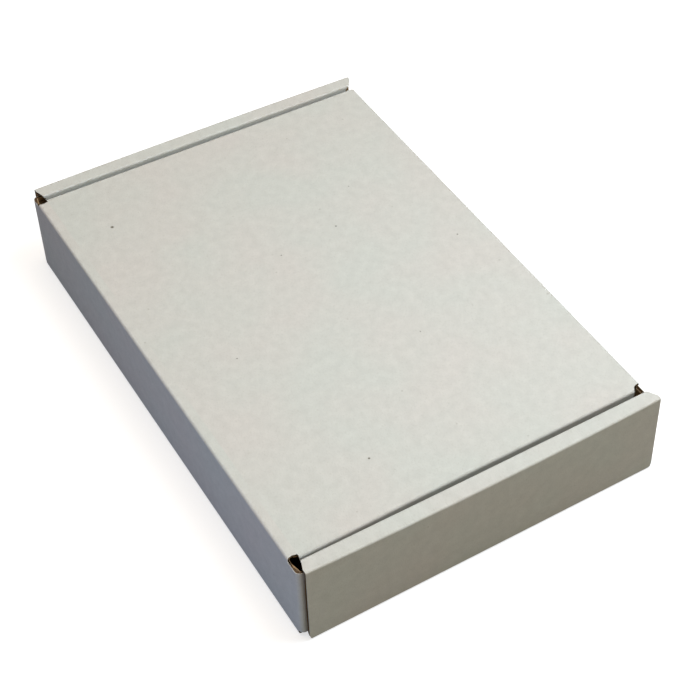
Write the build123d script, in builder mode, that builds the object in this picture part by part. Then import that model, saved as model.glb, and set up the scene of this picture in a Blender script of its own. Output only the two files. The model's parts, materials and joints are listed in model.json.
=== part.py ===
from build123d import *
import os
from math import acos, atan2, cos, degrees, hypot, sin, sqrt

# A roll-end, tuck-front mailer box of thin fluted board, folded up and closed.
# Sizes are in millimetres. +Z is up and the base lies on Z = 0. The long side runs
# along X, the tuck front faces -Y and the lid's hinge crease runs along +Y.
# The box is one folded sheet: the tray is its base, walls, ears and rolled ends, and
# the lid is the rest of it, parted from the tray along the middle of the hinge crease.
# Both are symmetric about X = 0, so each is built on the +X side and mirrored.

# ---- Overall sizes ---------------------------------------------------------------
length = 240.0  # outside, over the two rolled ends
width = 156.0  # outside, over the two long walls
height = 40.0  # from the table to the top of the rolled ends

# ---- The board and its folds -----------------------------------------------------
board = 1.6  # caliper of the fluted board
fold_inside = 0.4  # inside radius of every fold
ply_gap = 0.8  # air between the plies of a rolled end
floor_gap = 0.4  # under a flap that stands just clear of the base

# ---- Rolled ends -----------------------------------------------------------------
panel_inset_back = 2.2  # end panel's raw edge, in from the back wall's face
panel_inset_front = 0.4  # the same at the front wall
panel_corner = 3.0  # radius of the end panel's lower corners
roll_taper_back = 2.4  # how much shorter the inner ply is than the outer, at the back
roll_taper_front = 4.4  # the same at the front
tab_width = 24.0  # locking tab on the inner ply
tab_spacing = 84.0  # between the middles of a rolled end's two tabs
tab_slack = 0.3  # gap round a tab in its slot
tab_lift = 0.3  # tab's tip, up from the underside of the base

# ---- Ears, folded in from the long walls between the plies -------------------------
ear_reach = 56.0  # from the long wall's face to the ear's free edge
ear_taper = 4.0  # how much the free edge is shorter, at its top and its bottom
ear_corner = 5.0  # radius of the free edge's corners
ear_drop = 0.2  # ear's top edge, below the start of the hinge fold

# ---- Lid ---------------------------------------------------------------------------
lid_drop = 1.0  # lid's face, below the top of the rolled ends
lid_gap = 1.4  # between the lid's side flaps and the rolled ends
front_wall_drop = 2.8  # front wall's raw top edge, below the lid's face
tuck_gap = 0.3  # between the tuck flap and the front wall
tuck_depth = 30.0  # tuck flap's tip, below the hinge axis
tuck_inset = 4.0  # tuck flap's side edges, in from the lid's side faces
tuck_corner = 12.0
side_flap_depth = 28.0  # below the lid's face
side_flap_taper = 7.0  # how much its free edge is shorter, at each end
side_flap_corner = 6.0

# ---- Relief holes that let the creases meet at the lid's corners --------------------
hinge_hole = 3.7  # radius, at the hinge end
hinge_hole_in = 2.2  # its centre, in from the back wall's face
front_hole = 4.5  # radius, at the tuck end
front_hole_in = 0.6  # its centre, in from the tuck flap's face
hole_past_lid = 0.9  # both centres, out from the lid's side face

# ---- Derived places ------------------------------------------------------------------
fold_outside = fold_inside + board
fold_middle = fold_inside + board / 2
half_length = length / 2
half_width = width / 2
rolled_end = 3 * board + 2 * ply_gap
roll_face = half_length - rolled_end  # the inner ply's face, inside the box
ear_face = half_length - board - ply_gap
wall_end = ear_face - fold_outside  # where a long wall turns into its ear
panel_back = half_width - panel_inset_back
panel_width = width - panel_inset_back - panel_inset_front
floor_top = board

lid_top = height - lid_drop
lid_side = roll_face - lid_gap
lid_flat = lid_side - fold_outside  # where the lid turns into its side flap
front_wall_top = lid_top - front_wall_drop
ear_top = lid_top - fold_outside - ear_drop
ear_bottom = fold_outside + floor_gap

# The hinge axis lies on the outer face, at the middle of the rounded crease.
crease_inset = fold_outside * (1 - sqrt(0.5))
hinge_y = half_width - crease_inset
hinge_z = lid_top - crease_inset

# The tuck flap leans in, so that its tip clears the front wall as the lid swings up.
tuck_face = -half_width + board + tuck_gap
tuck_swing = hinge_y - tuck_face
tuck_tip = (hinge_y - sqrt(tuck_swing**2 - tuck_depth**2), hinge_z - tuck_depth)
tuck_fold = (tuck_face + fold_outside, lid_top - fold_outside)  # the fold's centre
tip_y, tip_z = (tip - centre for tip, centre in zip(tuck_tip, tuck_fold))
tuck_lean = atan2(tip_z, tip_y) + acos(-fold_outside / hypot(tip_y, tip_z))

hole_x = lid_side + hole_past_lid
hinge_hole_y = half_width - hinge_hole_in
front_hole_y = tuck_face + front_hole_in


with BuildPart() as tray:
    # A rolled end: base, outer ply, top strip and inner ply, as one bent sheet.
    with BuildSketch(Plane.XZ.offset(-panel_back)):
        with BuildLine():
            FilletPolyline(
                (0, board / 2),
                (half_length - board / 2, board / 2),
                (half_length - board / 2, height - board / 2),
                (roll_face + board / 2, height - board / 2),
                (roll_face + board / 2, floor_top + floor_gap),
                radius=fold_middle,
            )
        trace(line_width=board)
    extrude(amount=panel_width)

    # The top strip narrows towards the inner ply, which clears both long walls.
    with BuildSketch(Plane.XY.offset(floor_top + floor_gap / 2)):
        for edge_y, side, taper in (
            (panel_back, 1, roll_taper_back),
            (panel_back - panel_width, -1, roll_taper_front),
        ):
            with BuildLine():
                Polyline(
                    (half_length - fold_outside, edge_y),
                    (roll_face, edge_y - side * taper),
                    (roll_face - board, edge_y - side * taper),
                    (roll_face - board, edge_y + side * board),
                    (half_length - fold_outside, edge_y + side * board),
                    close=True,
                )
            make_face()
    extrude(amount=height, mode=Mode.SUBTRACT)

    # Rounded lower corners of the outer ply.
    with BuildSketch(Plane.YZ.offset(wall_end)):
        for edge_y, side in ((panel_back, 1), (panel_back - panel_width, -1)):
            with Locations((edge_y - side * panel_corner / 2, panel_corner / 2)):
                Rectangle(panel_corner, panel_corner)
            with Locations((edge_y - side * panel_corner, panel_corner)):
                Circle(panel_corner, mode=Mode.SUBTRACT)
    extrude(amount=half_length - wall_end, mode=Mode.SUBTRACT)

    # Base and long walls. The back wall ends half way round the hinge crease.
    with BuildSketch(Plane.YZ):
        with BuildLine():
            walls = FilletPolyline(
                (-half_width + board / 2, front_wall_top),
                (-half_width + board / 2, board / 2),
                (half_width - board / 2, board / 2),
                (half_width - board / 2, lid_top - fold_outside),
                radius=fold_middle,
            )
            JernArc(start=walls @ 1, tangent=walls % 1, radius=fold_middle, arc_size=45)
        trace(line_width=board)
    extrude(amount=wall_end)

    # Relief hole at the hinge: it notches the wall's top, down to the ear's top edge.
    with BuildSketch(Plane.XZ.offset(-half_width - board)):
        with Locations((hole_x, ear_top + hinge_hole)):
            Circle(hinge_hole)
        with Locations((hole_x, ear_top)):
            Rectangle(half_length - hole_x, height - ear_top, align=(Align.MIN, Align.MIN))
    extrude(amount=fold_outside + 2 * board, mode=Mode.SUBTRACT)

    # Ears: a fold at each end of each long wall, and a tapered plate inside the roll.
    for side in (1, -1):
        with BuildSketch(Plane.XY.offset(ear_bottom)):
            with BuildLine():
                fold_centre = (wall_end, side * (half_width - fold_outside))
                CenterArc(fold_centre, fold_middle, 0, side * 90)
            trace(line_width=board)
        extrude(amount=ear_top - ear_bottom)

        with BuildSketch(Plane.YZ.offset(ear_face - board)):
            with BuildLine():
                Polyline(
                    (side * (half_width - fold_outside), ear_top),
                    (side * (half_width - ear_reach), ear_top - ear_taper),
                    (side * (half_width - ear_reach), ear_bottom + ear_taper),
                    (side * (half_width - fold_outside), ear_bottom),
                    close=True,
                )
            ear = make_face()
            free_corners = ear.vertices().sort_by(Axis.Y, reverse=side < 0)[:2]
            fillet(free_corners, radius=ear_corner)
        extrude(amount=board)

    # Slots in the base, and the inner ply's locking tabs in them.
    tab_places = [(roll_face + board / 2, side * tab_spacing / 2) for side in (1, -1)]
    with BuildSketch(Plane.XY):
        with Locations(*tab_places):
            Rectangle(board + 2 * tab_slack, tab_width + 2 * tab_slack)
    extrude(amount=floor_top, mode=Mode.SUBTRACT)
    with BuildSketch(Plane.XY.offset(tab_lift)):
        with Locations(*tab_places):
            Rectangle(board, tab_width)
    extrude(amount=floor_top + floor_gap + board - tab_lift)

    mirror(about=Plane.YZ)

tray.part.label = "tray"


with BuildPart() as lid:
    # Half of the hinge crease, the lid and the fold at its front.
    with BuildSketch(Plane.YZ):
        with BuildLine():
            hinge_fold = CenterArc(
                (half_width - fold_outside, lid_top - fold_outside), fold_middle, 45, 45
            )
            front = Line(hinge_fold @ 1, (tuck_fold[0], lid_top - board / 2))
            JernArc(
                start=front @ 1,
                tangent=front % 1,
                radius=fold_middle,
                arc_size=90 + degrees(tuck_lean),
            )
        trace(line_width=board)
    extrude(amount=lid_flat)

    # Side flap: a fold along the lid's end, and a tapered plate beside the roll.
    with BuildSketch(Plane.XZ.offset(-hinge_hole_y)):
        with BuildLine():
            CenterArc((lid_flat, lid_top - fold_outside), fold_middle, 0, 90)
        trace(line_width=board)
    extrude(amount=hinge_hole_y - front_hole_y)

    flap_back = hinge_hole_y - hinge_hole
    flap_front = front_hole_y + front_hole
    with BuildSketch(Plane.YZ.offset(lid_side - board)):
        with BuildLine():
            Polyline(
                (flap_back, lid_top - fold_outside),
                (flap_back - side_flap_taper, lid_top - side_flap_depth),
                (flap_front + side_flap_taper, lid_top - side_flap_depth),
                (flap_front, lid_top - fold_outside),
                close=True,
            )
        side_flap = make_face()
        fillet(side_flap.vertices().sort_by(Axis.Y)[:2], radius=side_flap_corner)
    extrude(amount=board)

    # Relief holes at both ends of the side flap's crease.
    with BuildSketch(Plane.XY.offset(lid_top - fold_outside)):
        with Locations((hole_x, hinge_hole_y)):
            Circle(hinge_hole)
        with Locations((hole_x, front_hole_y)):
            Circle(front_hole)
    extrude(amount=fold_outside, mode=Mode.SUBTRACT)

    # Tuck flap, on the plane of its outer face: local X along the box, local Y down it.
    tuck_start = (
        tuck_fold[0] - fold_outside * cos(tuck_lean),
        tuck_fold[1] - fold_outside * sin(tuck_lean),
    )
    tuck_length = hypot(tuck_tip[0] - tuck_start[0], tuck_tip[1] - tuck_start[1])
    tuck_plane = Plane(
        origin=(0, *tuck_start), x_dir=(1, 0, 0), z_dir=(0, cos(tuck_lean), sin(tuck_lean))
    )
    with BuildSketch(tuck_plane):
        Rectangle(lid_side - tuck_inset, tuck_length, align=(Align.MIN, Align.MIN))
        fillet(vertices().sort_by(Axis.Y)[-2:].sort_by(Axis.X)[-1:], radius=tuck_corner)
    extrude(amount=board)

    mirror(about=Plane.YZ)

lid.part.label = "lid"

os.makedirs("parts", exist_ok=True)
for piece in (tray, lid):
    export_step(piece.part, f"parts/{piece.part.label}.step")
    print(piece.part.label, len(piece.part.solids()), round(piece.part.volume, 1))
    print(piece.part.bounding_box())
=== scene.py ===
"""A white-faced corrugated mailer box: its liners, fluted medium, hinge crease and stage."""

import json
from math import acos, atan2, cos, hypot, pi, radians, sin, sqrt, tan

import bpy
import numpy as np
from mathutils import Matrix, Vector


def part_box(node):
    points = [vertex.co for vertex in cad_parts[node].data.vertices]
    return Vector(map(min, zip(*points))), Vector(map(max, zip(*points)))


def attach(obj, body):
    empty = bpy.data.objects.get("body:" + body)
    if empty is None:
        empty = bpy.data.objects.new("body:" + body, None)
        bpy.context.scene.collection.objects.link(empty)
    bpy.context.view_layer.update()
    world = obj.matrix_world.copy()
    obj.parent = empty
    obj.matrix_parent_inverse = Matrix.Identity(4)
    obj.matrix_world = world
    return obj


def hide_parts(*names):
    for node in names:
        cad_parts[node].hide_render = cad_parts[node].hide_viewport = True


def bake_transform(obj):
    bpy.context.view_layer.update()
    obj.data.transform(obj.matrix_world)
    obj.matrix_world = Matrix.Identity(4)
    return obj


bl_info = {
    "name": "Mailer Box",
    "version": (1, 0, 0),
    "blender": (4, 5, 0),
    "location": "View3D > Sidebar > Mailer Box",
    "description": "Builds a corrugated mailer box from its folded sheet around a CAD frame",
    "category": "Object",
}

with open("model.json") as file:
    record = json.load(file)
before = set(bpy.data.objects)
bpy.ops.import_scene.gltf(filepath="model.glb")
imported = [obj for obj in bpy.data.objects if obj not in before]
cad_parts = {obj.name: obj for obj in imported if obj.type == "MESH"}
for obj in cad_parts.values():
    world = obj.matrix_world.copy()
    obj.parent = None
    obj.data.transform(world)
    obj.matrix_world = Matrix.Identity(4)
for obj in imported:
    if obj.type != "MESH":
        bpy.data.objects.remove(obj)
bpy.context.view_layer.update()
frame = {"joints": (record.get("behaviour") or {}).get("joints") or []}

mm = 0.001

# ---- Sizes taken from the frame ------------------------------------------------------
tray_low, tray_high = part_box("tray")
lid_low, lid_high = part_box("lid")
half_length = tray_high.x
half_width = tray_high.y
height = tray_high.z
lid_top = lid_high.z
lid_side = lid_high.x
tuck_face = lid_low.y
hinge_y, hinge_z = frame["joints"][0]["pos_m"][1:]

# ---- The board -----------------------------------------------------------------------
board = 1.6 * mm
fold_inside = 0.4 * mm
fold_outside = fold_inside + board
fold_middle = fold_inside + board / 2
quarter = pi / 2
crease = quarter * fold_middle  # length of board in a square fold
fold_steps = 12

# How sharply each crease is pressed: the radius of its outer face.
roll_crease = 0.8 * mm
base_crease = 1.3 * mm
hinge_crease = 1.0 * mm
tuck_crease = 1.1 * mm
flap_crease = 1.1 * mm
soft_crease = fold_outside
crushed = 0.55  # share of the board's thickness left in a pressed crease
crush_reach = 1.6 * mm

# ---- Rolled ends: base, outer ply, top strip and inner ply -----------------------------
rolled_end = 6.4 * mm
panel_back_inset = 2.2 * mm
panel_front_inset = 0.4 * mm
panel_back = half_width - panel_back_inset
panel_front = -half_width + panel_front_inset
panel_corner = 3.0 * mm
panel_limit = panel_back - panel_corner
roll_taper_back = 2.4 * mm
roll_taper_front = 4.4 * mm
taper_turn = 0.45  # where the tapered end of a top strip turns
taper_bulge = 0.7
floor_gap = 0.4 * mm
tab_width = 24.0 * mm
tab_spacing = 84.0 * mm
tab_reach = 1.7 * mm
slot_gap = 0.3 * mm
slot_out = half_length - rolled_end + board + slot_gap
slot_in = half_length - rolled_end - slot_gap
slot_ends = [(tab_spacing + side * tab_width) / 2 + side * slot_gap for side in (-1, 1)]

roll_folds = [half_length - fold_outside]
roll_folds.append(roll_folds[0] + crease + height - 2 * fold_outside)
roll_folds.append(roll_folds[1] + crease + rolled_end - 2 * fold_outside)
roll_end = roll_folds[2] + crease + height - fold_outside - board - floor_gap

# ---- Long walls and ears ---------------------------------------------------------------
ear_play = 1.2 * mm  # between an ear and the plies that hold it
wall_end = half_length - 2 * board - ear_play
wall_fold = half_width - fold_outside
wall_rise = wall_fold + crease - fold_outside  # add a height to get a place on the sheet
front_wall_drop = 4.8 * mm
front_wall_top = lid_top - front_wall_drop
hinge_fold = wall_rise + lid_top - fold_outside
ear_length = 56.0 * mm
ear_reach = ear_length - fold_outside + crease
ear_taper = 4.0 * mm
ear_corner = 5.0 * mm
ear_slope = 0.02 * mm
ear_bottom = wall_rise + fold_outside + floor_gap
ear_rise = 0.3 * mm
ear_top = hinge_fold + ear_rise
crease_margin = 2.2 * mm  # how far the hinge crease piece runs on, over the lid
wall_margin = 3.2 * mm  # and down the back wall

# ---- Lid, side flaps and tuck flap -------------------------------------------------------
lid_flat = lid_side - fold_outside
lid_back = half_width - fold_outside
lid_front = tuck_face + fold_outside
side_flap_depth = 26.0 * mm
side_flap_end = lid_flat + crease + side_flap_depth
side_flap_taper = 7.0 * mm
side_flap_corner = 6.0 * mm
tuck_depth = 30.0 * mm
tuck_inset = 4.0 * mm
tuck_side = lid_side - tuck_inset
tuck_corner = 12.0 * mm
tuck_shoulder = 1.0 * mm

tuck_swing = hinge_y - tuck_face
tip_y = hinge_y - sqrt(tuck_swing**2 - tuck_depth**2) - lid_front
tip_z = hinge_z - tuck_depth - lid_top + fold_outside
tuck_lean = atan2(tip_z, tip_y) + acos(-fold_outside / hypot(tip_y, tip_z))
tuck_angle = quarter + tuck_lean
tuck_end = sqrt(tip_y**2 + tip_z**2 - fold_outside**2) + tuck_angle * fold_middle

# ---- Relief holes ------------------------------------------------------------------------
hole_u = lid_side - 0.3 * mm
hinge_hole = 1.9 * mm
hinge_hole_v = ear_top + hinge_hole  # on the walls' sheet
lid_hole_v = lid_back + hinge_fold + crease - hinge_hole_v  # the same place on the lid's sheet
crease_side = hole_u - 1.6 * mm
front_hole_near = 3.7 * mm
front_hole_far = 1.6 * mm
front_hole_u = lid_side + 0.7 * mm
front_hole_v = tuck_face + 0.6 * mm

# ---- How finely the sheets are divided -----------------------------------------------------
flat_step = 8.0 * mm
arc_steps = 8
crease_step = 0.35 * mm
crease_row_step = 0.3 * mm
flute_rows = 5  # in one flute
merge_step = 1e-7
least_area = 1e-11


# ---- Flat sheets: rows across the flutes, each from its inner to its outer end -------------

def spaced(start, stop, step):
    """Places from start to stop, evenly spaced by about step."""
    count = max(1, round(abs(stop - start) / step))
    return [start + (stop - start) * n / count for n in range(count + 1)]


def places(low, high, folds, step):
    """Places from low to high, close together through each fold (start, length)."""
    found = {low, high}
    for start, size in folds:
        found.update(start + size * n / fold_steps for n in range(fold_steps + 1))
    found = sorted(x for x in found if low <= x <= high)
    filled = set(found)
    for a, b in zip(found, found[1:]):
        filled.update(spaced(a, b, step))
    tidy = []
    for x in sorted(filled):
        if not tidy or x - tidy[-1] > merge_step:
            tidy.append(x)
    return tidy


def refined(rows, step):
    """The rows with more between them, so that no two are further apart than step."""
    out = [rows[0]]
    for before, after in zip(rows, rows[1:]):
        count = max(1, int(abs(after[0] - before[0]) / step + 0.999))
        for n in range(1, count + 1):
            share = n / count
            out.append(tuple(a + (b - a) * share for a, b in zip(before, after)))
    return out


def through(rows, wanted):
    """The rows with one more at each wanted place that lies between two of them."""
    out = [rows[0]]
    for before, after in zip(rows, rows[1:]):
        for v in sorted(wanted):
            if before[0] + 1e-6 < v < after[0] - 1e-6:
                share = (v - before[0]) / (after[0] - before[0])
                out.append(tuple(a + (b - a) * share for a, b in zip(before, after)))
        out.append(after)
    return out


def round_corner(centre_u, centre_v, radius, start, stop):
    """Points of a round corner, as (v, u), from angle start to angle stop."""
    angles = [start + (stop - start) * n / arc_steps for n in range(arc_steps + 1)]
    return [(centre_v + radius * sin(a), centre_u + radius * cos(a)) for a in angles]


def beside(off):
    """How far the hinge's relief hole reaches, at a distance off its middle."""
    return sqrt(hinge_hole**2 - off**2)


def fold_rows(start, size):
    """Places through a fold."""
    return [start + size * n / fold_steps for n in range(fold_steps + 1)]


def ear_rows(top):
    """An ear's outline, from its bottom edge up to its top edge."""
    tip = wall_end + ear_reach - ear_corner
    plate = wall_end + crease
    low, high = ear_bottom + ear_taper + ear_corner, top - ear_taper - ear_corner
    rows = [(ear_bottom, 0, plate)]
    rows += [(v, 0, u) for v, u in round_corner(tip, low, ear_corner, -quarter, 0)]
    rows += [(v, 0, u) for v, u in round_corner(tip, high, ear_corner, 0, quarter)]
    return rows + [(top - ear_slope, 0, plate)]


def wall_rows():
    """Base, walls and ears: half of the sheet, out from its middle."""
    front = wall_rise + front_wall_top
    ear = ear_rows(ear_top)
    rows = [(-front, 0, wall_end)]
    rows += [(-v, 0, u) for v, low, u in reversed(ear_rows(front))]
    rows += [(-ear_bottom, 0, wall_end), (ear_bottom, 0, wall_end)]
    rows += ear
    split = hinge_fold - wall_margin
    rows = [row for row in rows if row[0] < split]
    at_split = np.interp(split, [row[0] for row in ear], [row[2] for row in ear])
    rows += [(split, 0, at_split), (split, crease_side, at_split)]
    rows += [(v, crease_side, u) for v, low, u in ear if v > split]
    rows += [(ear_top, crease_side, hole_u)]
    for n in range(1, arc_steps + 1):
        u = hole_u + (crease_side - hole_u) * n / arc_steps
        rows.append((hinge_hole_v - beside(hole_u - u), crease_side, u))
    wanted = fold_rows(wall_fold, crease)
    wanted += slot_ends
    wanted += [-v for v in wanted] + spaced(-panel_limit, panel_limit, flat_step)
    return through(sorted_rows(rows), wanted)


def sorted_rows(rows):
    """Rows in order of place; rows at one place keep their order."""
    return sorted(rows, key=lambda row: row[0])


def rolled_rows():
    """The rolled end's rows, with its tabs."""
    rows = []
    strip = roll_folds[1] + crease
    inner = roll_folds[2] + crease
    bulging = strip + taper_bulge * (inner - strip)
    corner_u = roll_folds[0] + crease - fold_outside + panel_corner

    def start_at(inward):
        """Where the outer ply begins, round the panel's lower corner."""
        if inward >= panel_corner:
            return wall_end
        return corner_u - sqrt(max(0.0, panel_corner**2 - (panel_corner - inward) ** 2))

    insets = [panel_corner * (1 - cos(quarter * n / arc_steps)) for n in range(arc_steps + 1)]
    sides = ((panel_front, 1, roll_taper_front), (panel_back, -1, roll_taper_back))
    for edge, side, taper in sides:
        group = []
        for inward in sorted(insets + [taper]):
            if inward <= taper:
                reach = np.interp(inward / taper, [0, taper_turn, 1], [strip, bulging, inner])
                group.append((inward, start_at(inward), reach))
            if inward >= taper:
                group.append((inward, start_at(inward), roll_end))
        if taper < panel_corner:
            group.append((panel_corner, wall_end, roll_end))
        group = [(edge + side * inward, low, high) for inward, low, high in group]
        rows += group if side > 0 else reversed(group)
    tabs = []
    for middle in (-tab_spacing / 2, tab_spacing / 2):
        low, high = middle - tab_width / 2, middle + tab_width / 2
        tabs += [(low, wall_end, roll_end), (low, wall_end, roll_end + tab_reach)]
        tabs += [(high, wall_end, roll_end + tab_reach), (high, wall_end, roll_end)]
    return through(sorted_rows(rows + tabs), spaced(-panel_limit, panel_limit, flat_step))


def lid_half(front_hole):
    """Lid, side flaps and tuck flap: half of the sheet, out from its middle."""
    tip = lid_front - tuck_end
    tuck_round = tuck_side - tuck_corner
    flap_round = side_flap_end - side_flap_corner
    flap_front = front_hole_v + front_hole + side_flap_taper + side_flap_corner
    flap_back = lid_hole_v - hinge_hole - side_flap_taper - side_flap_corner
    reach = acos((lid_hole_v - lid_back + crease_margin) / hinge_hole)
    outline = [(tip, tuck_round)]
    outline += round_corner(tuck_round, tip + tuck_corner, tuck_corner, -quarter, 0)
    outline += [(front_hole_v - tuck_shoulder, tuck_side)]
    outline += round_corner(front_hole_u, front_hole_v, front_hole, pi, quarter)
    outline += round_corner(flap_round, flap_front, side_flap_corner, -quarter, 0)
    outline += round_corner(flap_round, flap_back, side_flap_corner, 0, quarter)
    outline += round_corner(hole_u, lid_hole_v, hinge_hole, -quarter, -quarter - reach)
    return sorted_rows([(v, 0, u) for v, u in outline])


def lid_rows():
    """The lid's near and far halves, with rows at the same places."""
    near, far = lid_half(front_hole_near), lid_half(front_hole_far)
    wanted = fold_rows(lid_front - tuck_angle * fold_middle, tuck_angle * fold_middle)
    wanted += [row[0] for row in near + far]
    wanted += spaced(lid_front, lid_back - hinge_hole, flat_step)
    return through(near, wanted), through(far, wanted)


def crease_rows():
    """The hinge crease: a strip of the sheet from the back wall over to the lid."""
    start = hinge_fold - wall_margin
    stop = hinge_fold + crease + crease_margin
    leave = hinge_hole_v - beside(hole_u - crease_side)
    rows = [(start, 0, crease_side), (leave, 0, crease_side)]
    for v in spaced(leave, stop, crease_step)[1:]:
        rows.append((v, 0, hole_u - beside(hinge_hole_v - v)))
    return refined(rows, crease_row_step)


def in_slot(u, v):
    """Whether a place on the base lies in a slot for one of the rolled ends' tabs."""
    return slot_in < u < slot_out and slot_ends[0] < abs(v) < slot_ends[1]


def half_grid(rows, columns, slotted=False):
    """Points and faces of half a sheet; cells past a row's ends close up on its outline."""
    lines = [[(min(max(u, low), high), v) for u in columns] for v, low, high in rows]
    index, points, grid = {}, [], []
    for line in lines:
        ids = []
        for u, v in line:
            key = (round(u / merge_step), round(v / merge_step))
            if key not in index:
                index[key] = len(points)
                points.append((u, v))
            ids.append(index[key])
        grid.append(ids)
    faces = []
    for below, above in zip(grid, grid[1:]):
        for n in range(len(columns) - 1):
            ring = [below[n], below[n + 1], above[n + 1], above[n]]
            ring = [i for k, i in enumerate(ring) if i != ring[k - 1]]
            if len(set(ring)) < 3 or len(set(ring)) != len(ring):
                continue
            area = sum(
                points[a][0] * points[b][1] - points[b][0] * points[a][1]
                for a, b in zip(ring, ring[1:] + ring[:1])
            )
            middle_u = sum(points[i][0] for i in ring) / len(ring)
            middle_v = sum(points[i][1] for i in ring) / len(ring)
            if abs(area) > least_area and not (slotted and in_slot(middle_u, middle_v)):
                faces.append(ring)
    return points, faces


def joined_halves(near, far):
    """The two half sheets as one; the points on the middle line are shared."""
    points, faces = list(far[0]), list(far[1])
    middle = {round(v / merge_step): i for i, (u, v) in enumerate(points) if u == 0}
    twin = {}
    for i, (u, v) in enumerate(near[0]):
        shared = middle.get(round(v / merge_step)) if u == 0 else None
        twin[i] = len(points) if shared is None else shared
        if shared is None:
            points.append((-u, v))
    faces += [[twin[i] for i in reversed(ring)] for ring in near[1]]
    return points, faces


# ---- Folding --------------------------------------------------------------------------------

def crush(points, axis, start, angle, radius, side=0):
    """Thins the board towards a pressed crease. Comes before any fold."""
    if radius >= fold_outside:
        return
    place = points[:, axis] * (np.sign(points[:, axis]) if side == 0 else side)
    size = angle * fold_middle
    away = np.maximum(np.maximum(start - place, place - start - size), 0)
    near = np.clip(1 - away / crush_reach, 0, 1)
    near = near * near * (3 - 2 * near)
    points[:, 2] *= 1 - (1 - crushed) * near


def fold(points, axis, start, angle, radius, side=0):
    """Bends the sheet inwards past start, on both sides of the middle or on one."""
    place = points[:, axis]
    sign = np.sign(place) if side == 0 else np.full(len(points), float(side))
    past = place * sign - start
    size = angle * fold_middle
    lead = (fold_outside - radius) * tan(angle / 2)
    run = np.clip(past / size, 0, 1) * (2 * lead + radius * angle)
    turn = np.clip((run - lead) / radius, 0, angle)
    before = np.minimum(run, lead)
    after = np.maximum(run - lead - radius * angle, 0) + np.maximum(past - size, 0)
    arm = radius + points[:, 2]
    along = start + before + arm * np.sin(turn) + after * np.cos(turn)
    depth = -radius + arm * np.cos(turn) - after * np.sin(turn)
    bent = past > 0
    points[bent, axis] = (sign * along)[bent]
    points[bent, 2] = depth[bent]


def fold_all(points, folds):
    """Presses and then bends a list of creases, given from the leaf to the root."""
    for crease_given in folds:
        crush(points, *crease_given)
    for crease_given in folds:
        fold(points, *crease_given)


# How the box settles: bulged ends, out of square, and the lid's near edge a little inwards.
near_bulge = 1.2 * mm
far_bulge = 0.6 * mm
bulge_turn = 0.6 * pi
near_rack = 0.0105  # how far each end is out of square, over the width
far_rack = -0.0143
near_lean = -0.44 * mm  # how far each end's top leans along the box
far_lean = -0.81 * mm
near_slip = (0.25 * mm, 0.9 * mm, 1.3 * mm)  # how far the lid's near edge stands back
near_slip_along = (4 * mm, 50 * mm, 150 * mm)
near_slip_run = 12.0 * mm
near_slip_from = near_slip_run - lid_side


def settle(points):
    """A hand-folded box: the rolled ends bulge and stand a little out of square."""
    x, y, z = points.T
    outward = np.clip((np.abs(x) - lid_side) / (half_length - lid_side), 0, 1)
    bulge = np.where(x < 0, near_bulge, far_bulge)
    rise = z / height
    shape = np.sin(np.clip(rise, 0, 1) * bulge_turn) * (1 - (y / half_width) ** 2)
    far = (x + half_length) / (2 * half_length)
    rack = near_rack + (far_rack - near_rack) * far
    lean = near_lean + (far_lean - near_lean) * far
    settled = points.copy()
    settled[:, 0] += np.sign(x) * outward * bulge * shape
    settled[:, 0] += rack * (panel_back - y) + lean * rise
    return settled


def fold_walls(points):
    upright = np.abs(points[:, 1]) > wall_fold + crease
    long_creases = [(1, hinge_fold, quarter, hinge_crease, 1), (1, wall_fold, quarter, base_crease)]
    for given in long_creases:
        crush(points, *given)
    ears = points[upright]
    fold(ears, 0, wall_end, quarter, soft_crease)
    points[upright] = ears
    for given in long_creases:
        fold(points, *given)
    points[:, 2] *= -1
    return settle(points)


def fold_roll(points):
    fold_all(points, [(0, start, quarter, roll_crease) for start in reversed(roll_folds)])
    points[:, 2] *= -1
    return settle(points)


def fold_lid(points):
    fold_all(points, [
        (0, lid_flat, quarter, flap_crease),
        (1, -lid_front, tuck_angle, tuck_crease, -1),
        (1, lid_back, quarter, hinge_crease, 1),
    ])
    points[:, 2] += lid_top
    edge = np.clip((near_slip_from - points[:, 0]) / near_slip_run, 0, 1)
    points[:, 0] += edge * np.interp(lid_back - points[:, 1], near_slip_along, near_slip)
    return settle(points)


def wall_columns(step):
    columns = places(0, wall_end + ear_reach, [(wall_end, crease)], step)
    return sorted(columns + [slot_in, slot_out])


def roll_columns(step):
    corner = roll_folds[0] + crease - fold_outside
    round_part = spaced(corner, corner + panel_corner, panel_corner / arc_steps)
    folds = [(start, crease) for start in roll_folds]
    columns = places(wall_end, roll_end + tab_reach, folds, step)
    return sorted(set(columns) | set(round_part) | {roll_end})


def lid_columns(step):
    return places(0, side_flap_end, [(lid_flat, crease)], step)


def crease_columns(step):
    return places(0, crease_side, [], step)


sheets = {
    "walls": (wall_rows, wall_columns, fold_walls),
    "roll": (rolled_rows, roll_columns, fold_roll),
    "lid": (lid_rows, lid_columns, fold_lid),
    "crease": (crease_rows, crease_columns, fold_walls),
}


# ---- Meshes -----------------------------------------------------------------------------------

def flat_sheet(name, row_step, column_step):
    make_rows, make_columns, shape = sheets[name]
    rows = make_rows()
    near, far = rows if isinstance(rows, tuple) else (rows, rows)
    columns = make_columns(column_step)
    slotted = name == "walls"
    halves = [half_grid(refined(half, row_step), columns, slotted) for half in (near, far)]
    points, faces = joined_halves(*halves)
    return points, faces, shape


def open_edges(faces):
    """Directed edges that only one face uses."""
    seen = {}
    for ring in faces:
        for a, b in zip(ring, ring[1:] + ring[:1]):
            seen[(a, b)] = seen.get((a, b), 0) + 1
    return [(a, b) for (a, b) in seen if (b, a) not in seen]


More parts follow.
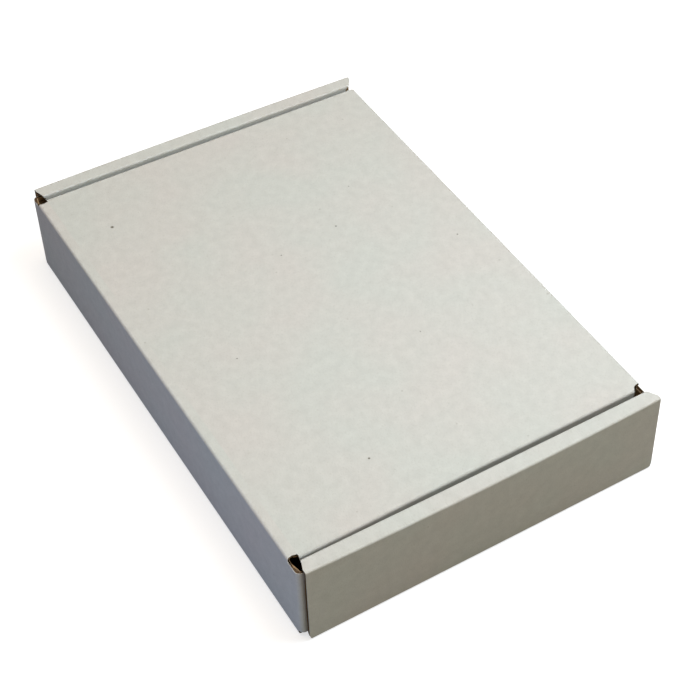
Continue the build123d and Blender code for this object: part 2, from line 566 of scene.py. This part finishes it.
def slab(name, top, bottom, skins, row_step=flat_step, column_step=flat_step, flip=False):
    """A folded layer of the board, closed round its rim: points, faces, skins and flat places."""
    flat, faces, shape = flat_sheet(name, row_step, column_step)
    count = len(flat)
    flat = np.array(flat, float)
    upper = np.column_stack([flat, np.full(count, top)])
    lower = np.column_stack([flat, np.full(count, bottom)])
    points = shape(np.vstack([upper, lower]))
    rings = [list(ring) for ring in faces]
    rings += [[i + count for i in reversed(ring)] for ring in faces]
    kinds = [skins[0]] * len(faces) + [skins[1]] * len(faces)
    for a, b in open_edges(faces):
        rings.append([b, a, a + count, b + count])
        kinds.append(skins[2])
    if flip:
        rings = [list(reversed(ring)) for ring in rings]
    return points, rings, kinds, np.vstack([flat, flat])


sharp_angle = radians(38)


def build_piece(name, parts, materials):
    """One mesh object of several layers, with the flat sheet's places as its UV map."""
    mesh = bpy.data.meshes.new(name)
    points, rings, kinds, flat, offset = [], [], [], [], 0
    for part_points, part_rings, part_kinds, part_flat in parts:
        points.append(part_points)
        flat.append(part_flat)
        rings += [[i + offset for i in ring] for ring in part_rings]
        kinds += part_kinds
        offset += len(part_points)
    mesh.from_pydata(np.vstack(points).tolist(), [], rings)
    flat = np.vstack(flat)
    layer = mesh.uv_layers.new(name="UVMap")
    loops = np.zeros(len(mesh.loops), np.int32)
    mesh.loops.foreach_get("vertex_index", loops)
    layer.data.foreach_set("uv", flat[loops].astype(np.float32).ravel())
    for material in materials:
        mesh.materials.append(material)
    mesh.polygons.foreach_set("material_index", kinds)
    mesh.polygons.foreach_set("use_smooth", [True] * len(rings))
    mesh.update()
    mesh.set_sharp_from_angle(angle=sharp_angle)
    piece = bpy.data.objects.new(name, mesh)
    bpy.context.scene.collection.objects.link(piece)
    return piece


# ---- Materials ----------------------------------------------------------------------------------

def colour(red, green, blue):
    """A colour written as sRGB, 0 to 255, in the linear values that shaders use."""
    def linear(value):
        value /= 255
        return value / 12.92 if value <= 0.04045 else ((value + 0.055) / 1.055) ** 2.4
    return (linear(red), linear(green), linear(blue), 1.0)


class Nodes:
    """Short ways to add and join shader nodes."""

    def __init__(self, material):
        material.use_nodes = True
        self.tree = material.node_tree
        self.tree.nodes.clear()
        self.x = 0

    def add(self, kind, **settings):
        node = self.tree.nodes.new(kind)
        node.location = (self.x, 0)
        self.x += 180
        for key, value in settings.items():
            setattr(node, key, value)
        return node

    def join(self, output, socket):
        self.tree.links.new(output, socket)

    def noise(self, place, scale, detail=3.0, roughness=0.5):
        node = self.add("ShaderNodeTexNoise")
        node.inputs["Scale"].default_value = scale
        node.inputs["Detail"].default_value = detail
        node.inputs["Roughness"].default_value = roughness
        self.join(place, node.inputs["Vector"])
        return node.outputs["Fac"]

    def stretched(self, place, scale, turn=0.0, shift=(0, 0, 0)):
        node = self.add("ShaderNodeMapping")
        node.inputs["Scale"].default_value = scale
        node.inputs["Rotation"].default_value = (0, 0, turn)
        node.inputs["Location"].default_value = shift
        self.join(place, node.inputs["Vector"])
        return node.outputs["Vector"]

    def ranged(self, value, low, high, out_low, out_high):
        node = self.add("ShaderNodeMapRange")
        self.join(value, node.inputs["Value"])
        limits = {"From Min": low, "From Max": high, "To Min": out_low, "To Max": out_high}
        for key, number in limits.items():
            node.inputs[key].default_value = number
        return node.outputs["Result"]

    def mixed(self, factor, first, second, blend="MIX"):
        node = self.add("ShaderNodeMix", data_type="RGBA", blend_type=blend)
        sockets = (node.inputs[0], node.inputs[6], node.inputs[7])
        for socket, value in zip(sockets, (factor, first, second)):
            if isinstance(value, bpy.types.NodeSocket):
                self.join(value, socket)
            else:
                socket.default_value = value
        return node.outputs[2]

    def math(self, operation, first, second=0.0):
        node = self.add("ShaderNodeMath", operation=operation)
        for socket, value in zip(node.inputs, (first, second)):
            if isinstance(value, bpy.types.NodeSocket):
                self.join(value, socket)
            else:
                socket.default_value = value
        return node.outputs[0]

    def finish(self, tint, height_of, strength, roughness):
        bump = self.add("ShaderNodeBump")
        bump.inputs["Strength"].default_value = strength
        bump.inputs["Distance"].default_value = 0.1 * mm
        self.join(height_of, bump.inputs["Height"])
        shader = self.add("ShaderNodeBsdfPrincipled")
        shader.inputs["Roughness"].default_value = roughness
        shader.inputs["Specular IOR Level"].default_value = 0.25
        self.join(tint, shader.inputs["Base Color"])
        self.join(bump.outputs["Normal"], shader.inputs["Normal"])
        output = self.add("ShaderNodeOutputMaterial")
        self.join(shader.outputs["BSDF"], output.inputs["Surface"])


def paper_place(nodes):
    """The place on the flat sheet, so that fibres run through the folds."""
    return nodes.add("ShaderNodeUVMap", uv_map="UVMap").outputs["UV"]


def specks(nodes, place, tint, spots, dark):
    """Dark flecks of bark in the paper: (along, across, radius) on the flat sheet, in mm."""
    for along, across, radius in spots:
        node = nodes.add("ShaderNodeVectorMath", operation="DISTANCE")
        nodes.join(place, node.inputs[0])
        node.inputs[1].default_value = (along * mm, across * mm, 0)
        inside = nodes.ranged(node.outputs["Value"], radius * mm * 0.5, radius * mm * 1.3, 0.9, 0.0)
        tint = nodes.mixed(inside, tint, dark)
    return tint


LID_SPOTS = (
    (81.0, 57.2, 0.7), (32.3, -22.7, 0.4), (28.3, 5.3, 0.3), (1.0, -63.0, 0.35),
    (-86.0, 30.3, 0.45), (52.0, -40.0, 0.25), (-40.0, -20.0, 0.25), (-15.0, 48.0, 0.3),
)


def white_paper(settings):
    material = bpy.data.materials.new("white_liner")
    nodes = Nodes(material)
    place = paper_place(nodes)
    cloudy = nodes.noise(place, 22.0, 2.0)
    blotchy = nodes.noise(place, 240.0, 4.0, 0.6)
    fibres = nodes.noise(nodes.stretched(place, (900, 3200, 1)), 1.0, 3.0, 0.65)
    grain = nodes.noise(place, 2600.0, 2.0)
    white = colour(*settings.white_shade)
    warm = colour(212, 203, 196)
    green = colour(205, 206, 198)
    tint = nodes.mixed(nodes.ranged(cloudy, 0.35, 0.65, 0, 1), warm, green)
    tint = nodes.mixed(0.5, tint, white)
    darker = nodes.ranged(blotchy, 0.3, 0.7, 0.935, 1.03)
    tint = nodes.mixed(1.0, tint, nodes.mixed(1.0, (1, 1, 1, 1), darker, "MULTIPLY"), "MULTIPLY")
    threads = nodes.ranged(fibres, 0.52, 0.72, 0.0, 0.5)
    tint = nodes.mixed(threads, tint, colour(178, 172, 160))
    flecks = nodes.add("ShaderNodeTexVoronoi")
    flecks.inputs["Scale"].default_value = 95.0
    nodes.join(place, flecks.inputs["Vector"])
    tiny = nodes.ranged(flecks.outputs["Distance"], 0.02, 0.05, 0.35, 0.0)
    tint = nodes.mixed(tiny, tint, colour(140, 130, 112))
    tint = specks(nodes, place, tint, LID_SPOTS, colour(92, 84, 68))
    height_of = nodes.math("ADD", nodes.math("MULTIPLY", fibres, 0.5), nodes.math("MULTIPLY", grain, 0.5))
    nodes.finish(tint, height_of, 0.25, 0.72)
    return material


def brown_paper(name, base, dark):
    """Unbleached kraft, with long fibres."""
    material = bpy.data.materials.new(name)
    nodes = Nodes(material)
    place = paper_place(nodes)
    cloudy = nodes.noise(place, 45.0, 3.0)
    mottled = nodes.noise(place, 420.0, 4.0, 0.65)
    fibres = nodes.noise(nodes.stretched(place, (500, 2400, 1)), 1.0, 3.0, 0.65)
    tint = nodes.mixed(nodes.ranged(cloudy, 0.3, 0.7, 0, 0.22), colour(*base), colour(*dark))
    tint = nodes.mixed(nodes.ranged(mottled, 0.4, 0.8, 0, 0.3), tint, colour(*dark))
    tint = nodes.mixed(nodes.ranged(fibres, 0.5, 0.75, 0, 0.35), tint, colour(*dark))
    nodes.finish(tint, fibres, 0.3, 0.85)
    return material


def board_materials(settings):
    if "white_liner" in bpy.data.materials:
        names = ("white_liner", "kraft_liner", "cut_edge", "kraft_edge_painted_shade", "fluted_medium_painted_shade")
        return [bpy.data.materials[name] for name in names]
    return [
        white_paper(settings),
        brown_paper("kraft_liner", settings.kraft_shade, (122, 92, 62)),
        brown_paper("cut_edge", (206, 200, 186), (176, 164, 142)),
        # The inner liner's rim: the kraft liner's own brown, painted darker as painted shade in the raw
        # edges.
        brown_paper("kraft_edge_painted_shade", (132, 108, 80), (96, 74, 52)),
        # The fluted medium: brown paper, painted much darker than it is as painted shade in the raw edges
        # and the gaps beside them.
        brown_paper("fluted_medium_painted_shade", (92, 70, 48), (60, 44, 30)),
    ]


# The last two slots hold materials painted darker, as painted shade in the board's raw edges.
WHITE, KRAFT, EDGE, KRAFT_EDGE_SHADED, FLUTE_SHADED = range(5)


flute_play = 0.02 * mm  # keeps the flutes off the paper faces
turned_over = {"walls": True, "roll": True, "lid": False, "crease": True}


def liners(name, liner):
    """The board's two paper faces for one sheet."""
    outer = slab(name, 0.0, -liner, (WHITE, KRAFT, EDGE), flip=turned_over[name])
    inner = slab(name, -board + liner, -board, (KRAFT, KRAFT, KRAFT_EDGE_SHADED), flip=turned_over[name])
    return [outer, inner]


# ---- Fluted medium, by geometry nodes ---------------------------------------------------------

def flute_tree():
    """Waves a flat sheet across the flutes, to a given pitch and depth."""
    tree = bpy.data.node_groups.new("fluted_sheet", "GeometryNodeTree")
    face = tree.interface
    face.new_socket("Geometry", in_out="INPUT", socket_type="NodeSocketGeometry")
    for name in ("Flute Pitch", "Flute Depth", "Middle"):
        face.new_socket(name, in_out="INPUT", socket_type="NodeSocketFloat")
    face.new_socket("Material", in_out="INPUT", socket_type="NodeSocketMaterial")
    face.new_socket("Geometry", in_out="OUTPUT", socket_type="NodeSocketGeometry")
    new = tree.nodes.new
    given, made = new("NodeGroupInput"), new("NodeGroupOutput")
    place, split = new("GeometryNodeInputPosition"), new("ShaderNodeSeparateXYZ")
    waves = new("ShaderNodeMath")
    waves.operation = "DIVIDE"
    turn = new("ShaderNodeMath")
    turn.operation = "MULTIPLY"
    turn.inputs[1].default_value = 2 * pi
    sine = new("ShaderNodeMath")
    sine.operation = "SINE"
    half = new("ShaderNodeMath")
    half.operation = "MULTIPLY"
    half.inputs[1].default_value = 0.5
    rise = new("ShaderNodeMath")
    rise.operation = "MULTIPLY_ADD"
    lift = new("ShaderNodeCombineXYZ")
    move = new("GeometryNodeSetPosition")
    real = new("GeometryNodeRealizeInstances")
    coat = new("GeometryNodeSetMaterial")
    join = tree.links.new
    join(place.outputs[0], split.inputs[0])
    join(split.outputs["Y"], waves.inputs[0])
    join(given.outputs["Flute Pitch"], waves.inputs[1])
    join(waves.outputs[0], turn.inputs[0])
    join(turn.outputs[0], sine.inputs[0])
    join(given.outputs["Flute Depth"], half.inputs[0])
    join(sine.outputs[0], rise.inputs[0])
    join(half.outputs[0], rise.inputs[1])
    join(given.outputs["Middle"], rise.inputs[2])
    join(rise.outputs[0], lift.inputs["Z"])
    join(given.outputs["Geometry"], move.inputs["Geometry"])
    join(lift.outputs[0], move.inputs["Offset"])
    join(move.outputs[0], real.inputs[0])
    join(real.outputs[0], coat.inputs["Geometry"])
    join(given.outputs["Material"], coat.inputs["Material"])
    join(coat.outputs[0], made.inputs[0])
    return tree


def fluted(name, settings):
    """The wavy medium of one sheet, between its liners, folded with them."""
    pitch = settings.flute_pitch
    flat, faces, shape = flat_sheet(name, pitch / flute_rows, 2 * flat_step)
    mesh = bpy.data.meshes.new(name + "_flat")
    mesh.from_pydata([(u, v, 0) for u, v in flat], [], faces)
    sheet = bpy.data.objects.new(name + "_flat", mesh)
    bpy.context.scene.collection.objects.link(sheet)
    tree = bpy.data.node_groups.get("fluted_sheet") or flute_tree()
    modifier = sheet.modifiers.new("flutes", "NODES")
    modifier.node_group = tree
    given = {s.name: s.identifier for s in tree.interface.items_tree if s.in_out == "INPUT"}
    wall = settings.medium
    modifier[given["Flute Pitch"]] = pitch
    modifier[given["Flute Depth"]] = board - 2 * settings.liner - wall - flute_play
    modifier[given["Middle"]] = -board / 2
    modifier[given["Material"]] = bpy.data.materials["fluted_medium_painted_shade"]
    walls = sheet.modifiers.new("paper", "SOLIDIFY")
    walls.thickness = wall
    walls.offset = 0
    graph = bpy.context.evaluated_depsgraph_get()
    made = bpy.data.meshes.new_from_object(sheet.evaluated_get(graph))
    bpy.data.objects.remove(sheet)
    points = np.zeros(len(made.vertices) * 3)
    made.vertices.foreach_get("co", points)
    points = points.reshape(-1, 3)
    rings = [list(face.vertices) for face in made.polygons]
    flat = points[:, :2].copy()
    bpy.data.meshes.remove(made)
    if turned_over[name]:
        rings = [list(reversed(ring)) for ring in rings]
    return shape(points.copy()), rings, [FLUTE_SHADED] * len(rings), flat


# ---- Settings and operators --------------------------------------------------------------------

class MailerBoxSettings(bpy.types.PropertyGroup):
    """Sizes and colours of the board."""

    liner: bpy.props.FloatProperty(
        name="Liner", description="Thickness of each paper face", default=0.22 * mm,
        min=0.05 * mm, max=0.5 * mm, precision=5, unit="LENGTH")
    medium: bpy.props.FloatProperty(
        name="Medium", description="Thickness of the fluted paper", default=0.16 * mm,
        min=0.05 * mm, max=0.5 * mm, precision=5, unit="LENGTH")
    flute_pitch: bpy.props.FloatProperty(
        name="Flute Pitch", description="From one flute to the next", default=3.3 * mm,
        min=1.0 * mm, max=8.0 * mm, precision=5, unit="LENGTH")
    white_shade: bpy.props.FloatVectorProperty(
        name="White Face", description="Colour of the outside paper, 0 to 255", size=3,
        default=(209, 205, 197), min=0, max=255)
    kraft_shade: bpy.props.FloatVectorProperty(
        name="Kraft Face", description="Colour of the inside paper, 0 to 255", size=3,
        default=(172, 138, 100), min=0, max=255)


class MAILER_OT_tray_board(bpy.types.Operator):
    """Base, walls, ears and rolled ends: both paper faces and the flutes between them"""
    bl_idname = "mailer.tray_board"
    bl_label = "Tray Board"

    def execute(self, context):
        settings = context.scene.mailer_box
        materials = board_materials(settings)
        faces = liners("walls", settings.liner) + liners("roll", settings.liner)
        board_faces = build_piece("tray_liners", faces, materials)
        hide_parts("tray")
        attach(board_faces, "tray")
        waves = [fluted("walls", settings), fluted("roll", settings)]
        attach(build_piece("tray_flutes", waves, materials), "tray")
        return {"FINISHED"}


class MAILER_OT_lid_board(bpy.types.Operator):
    """Lid, side flaps and tuck flap: both paper faces and the flutes between them"""
    bl_idname = "mailer.lid_board"
    bl_label = "Lid Board"

    def execute(self, context):
        settings = context.scene.mailer_box
        materials = board_materials(settings)
        board_faces = build_piece("lid_liners", liners("lid", settings.liner), materials)
        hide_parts("lid")
        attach(board_faces, "lid")
        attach(build_piece("lid_flutes", [fluted("lid", settings)], materials), "lid")
        return {"FINISHED"}


class MAILER_OT_hinge_crease(bpy.types.Operator):
    """The crease that the lid turns on, bending between the back wall and the lid"""
    bl_idname = "mailer.hinge_crease"
    bl_label = "Hinge Crease"

    def execute(self, context):
        settings = context.scene.mailer_box
        materials = board_materials(settings)
        strip = build_piece("hinge_crease", liners("crease", settings.liner), materials)
        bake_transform(strip)
        return {"FINISHED"}


class MAILER_OT_stage(bpy.types.Operator):
    """Floor, lights, world and camera"""
    bl_idname = "mailer.stage"
    bl_label = "Stage"

    def execute(self, context):
        add_floor()
        add_lights()
        add_world()
        add_camera()
        context.scene.view_settings.view_transform = "Standard"
        return {"FINISHED"}


floor_reach = 6.0
floor_drop = -0.05 * mm
floor_white = 0.60
floor_glow = 0.64  # seen by the camera alone, so that the paper stays at its own level
floor_bounce = 0.26
sun_strength = 1.28
world_strength = 0.21


def add_floor():
    """A white floor that keeps the box's shadow and throws little light back up."""
    corners = [(-floor_reach, -floor_reach, 0), (floor_reach, -floor_reach, 0)]
    corners += [(floor_reach, floor_reach, 0), (-floor_reach, floor_reach, 0)]
    mesh = bpy.data.meshes.new("floor")
    mesh.from_pydata(corners, [], [(0, 1, 2, 3)])
    floor = bpy.data.objects.new("floor", mesh)
    bpy.context.scene.collection.objects.link(floor)
    floor.location.z = floor_drop
    material = bpy.data.materials.new("floor")
    nodes = Nodes(material)
    path = nodes.add("ShaderNodeLightPath")
    seen, bounced = nodes.add("ShaderNodeBsdfDiffuse"), nodes.add("ShaderNodeBsdfDiffuse")
    seen.inputs["Color"].default_value = (floor_white, floor_white, floor_white, 1)
    bounced.inputs["Color"].default_value = (floor_bounce, floor_bounce, floor_bounce, 1)
    either = nodes.add("ShaderNodeMixShader")
    nodes.join(path.outputs["Is Camera Ray"], either.inputs[0])
    glow = nodes.add("ShaderNodeEmission")
    glow.inputs["Strength"].default_value = floor_glow
    bright = nodes.add("ShaderNodeAddShader")
    nodes.join(seen.outputs[0], bright.inputs[0])
    nodes.join(glow.outputs[0], bright.inputs[1])
    nodes.join(bounced.outputs[0], either.inputs[1])
    nodes.join(bright.outputs[0], either.inputs[2])
    output = nodes.add("ShaderNodeOutputMaterial")
    nodes.join(either.outputs[0], output.inputs["Surface"])
    mesh.materials.append(material)


def add_lamp(name, kind, strength, place, tint=(1, 1, 1), size=0.0):
    """A lamp that points at the box's middle."""
    lamp = bpy.data.lights.new(name, kind)
    lamp.energy = strength
    lamp.color = tint
    if kind == "SUN":
        lamp.angle = size
    else:
        lamp.size = size
    holder = bpy.data.objects.new(name, lamp)
    bpy.context.scene.collection.objects.link(holder)
    holder.location = place
    holder.rotation_mode = "QUATERNION"
    holder.rotation_quaternion = (Vector((0, 0, height / 2)) - Vector(place)).to_track_quat("-Z", "Y")


def add_lights():
    add_lamp("overhead", "SUN", sun_strength, (0.10, -0.12, 2.0), (1.0, 0.85, 0.68), radians(35))
    add_lamp("window", "AREA", 2.4, (-0.15, -0.20, 0.55), (0.70, 0.87, 1.0), 0.3)
    add_lamp("cool_fill", "AREA", 0.30, (-0.13, 0.42, 0.055), (0.42, 0.58, 1.0), 0.1)
    add_lamp("warm_fill", "AREA", 2.0, (-1.2, -0.2, 0.25), (1.0, 0.80, 0.25), 1.0)


def add_world():
    world = bpy.context.scene.world or bpy.data.worlds.new("world")
    bpy.context.scene.world = world
    world.use_nodes = True
    tree = world.node_tree
    tree.nodes.clear()
    path = tree.nodes.new("ShaderNodeLightPath")
    either = tree.nodes.new("ShaderNodeMixShader")
    dim, white = tree.nodes.new("ShaderNodeBackground"), tree.nodes.new("ShaderNodeBackground")
    dim.inputs["Strength"].default_value = world_strength
    dim.inputs["Color"].default_value = (1, 1, 1, 1)
    white.inputs["Color"].default_value = (1, 1, 1, 1)
    output = tree.nodes.new("ShaderNodeOutputWorld")
    tree.links.new(path.outputs["Is Camera Ray"], either.inputs[0])
    tree.links.new(dim.outputs[0], either.inputs[1])
    tree.links.new(white.outputs[0], either.inputs[2])
    tree.links.new(either.outputs[0], output.inputs["Surface"])


camera_place = (-445.9 * mm, 229.6 * mm, 515.8 * mm)
camera_azimuth = radians(-119.59)
camera_elevation = radians(45.63)
camera_roll = radians(-1.54)
camera_lens = 88.5
camera_shift = -0.04


def add_camera():
    """The box from above its hinge corner, nearly level."""
    lens = bpy.data.cameras.new("camera")
    lens.sensor_width = 36.0
    lens.lens = camera_lens
    lens.shift_x = camera_shift
    camera = bpy.data.objects.new("camera", lens)
    bpy.context.scene.collection.objects.link(camera)
    back = Vector((
        sin(camera_azimuth) * cos(camera_elevation),
        -cos(camera_azimuth) * cos(camera_elevation),
        sin(camera_elevation),
    ))
    level = (-back).to_track_quat("-Z", "Y").to_matrix().to_4x4()
    turned = level @ Matrix.Rotation(camera_roll, 4, "Z")
    turned.translation = camera_place
    camera.matrix_world = turned
    lens.clip_start = 0.01
    bpy.context.scene.camera = camera


class MAILER_PT_panel(bpy.types.Panel):
    """Lists the box's sizes and its pieces"""
    bl_idname = "MAILER_PT_panel"
    bl_label = "Mailer Box"
    bl_space_type = "VIEW_3D"
    bl_region_type = "UI"
    bl_category = "Mailer Box"

    def draw(self, context):
        settings = context.scene.mailer_box
        for name in ("liner", "medium", "flute_pitch", "white_shade", "kraft_shade"):
            self.layout.prop(settings, name)
        for operator in operators:
            self.layout.operator(operator.bl_idname)


operators = (MAILER_OT_tray_board, MAILER_OT_lid_board, MAILER_OT_hinge_crease, MAILER_OT_stage)
classes = (MailerBoxSettings, *operators, MAILER_PT_panel)


def register():
    for cls in classes:
        bpy.utils.register_class(cls)
    bpy.types.Scene.mailer_box = bpy.props.PointerProperty(type=MailerBoxSettings)


def unregister():
    del bpy.types.Scene.mailer_box
    for cls in reversed(classes):
        bpy.utils.unregister_class(cls)


def main():
    register()
    bpy.ops.mailer.tray_board()
    bpy.ops.mailer.lid_board()
    bpy.ops.mailer.hinge_crease()
    bpy.ops.mailer.stage()


if __name__ == "__main__":
    main()
